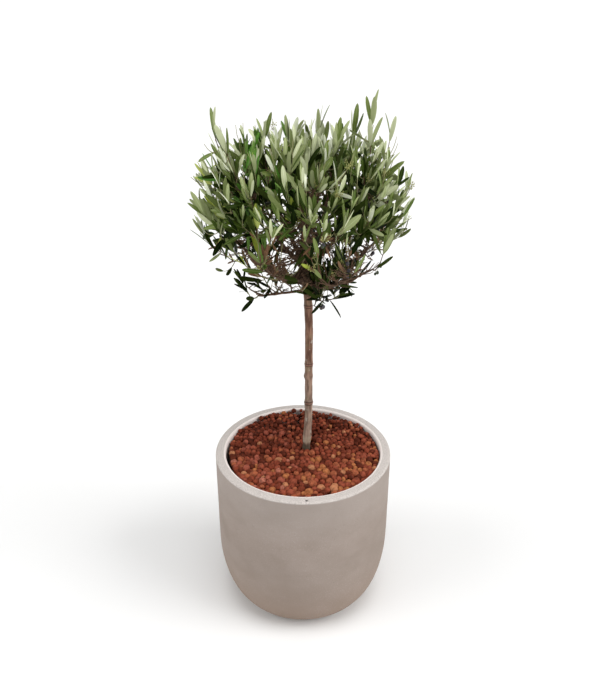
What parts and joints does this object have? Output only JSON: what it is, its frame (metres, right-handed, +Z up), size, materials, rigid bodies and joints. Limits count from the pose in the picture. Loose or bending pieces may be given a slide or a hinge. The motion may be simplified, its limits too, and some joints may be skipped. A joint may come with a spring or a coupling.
{
  "type": "potted olive tree",
  "caption": "Small clear-stemmed olive tree with a loose round head of narrow leaves, planted in a deep U-shaped planter topped with fired clay pebbles.",
  "frame": {"origin": "centre of the planter's flat underside, on the floor", "axes": "+Z up along the planter's axis, +X to the right and -Y towards the viewer of the front view"},
  "size_m": [0.4357, 0.423, 1.1838],
  "materials": {
    "planter": "matte",
    "medium": "matte",
    "pebble": "matte",
    "bark": "matte",
    "foliage": "matte"
  },
  "bodies": {
    "root": {"planter": "planter", "growing_medium": "medium", "clay_pebbles": "pebble", "trunk": "bark", "bough_low_1": "bark", "foliage_low_1": "foliage", "bough_low_2": "bark", "foliage_low_2": "foliage", "bough_low_3": "bark", "foliage_low_3": "foliage", "bough_low_4": "bark", "foliage_low_4": "foliage", "bough_low_5": "bark", "foliage_low_5": "foliage", "bough_high_1": "bark", "foliage_high_1": "foliage", "bough_high_2": "bark", "foliage_high_2": "foliage", "bough_high_3": "bark", "foliage_high_3": "foliage", "bough_high_4": "bark", "foliage_high_4": "foliage", "bough_high_5": "bark", "foliage_high_5": "foliage", "bough_top": "bark", "foliage_top": "foliage", "bough_left_spray": "bark", "foliage_left_spray": "foliage", "bough_right_spray": "bark", "foliage_right_spray": "foliage", "bough_front_spray": "bark", "foliage_front_spray": "foliage"}
  },
  "joints": []
}
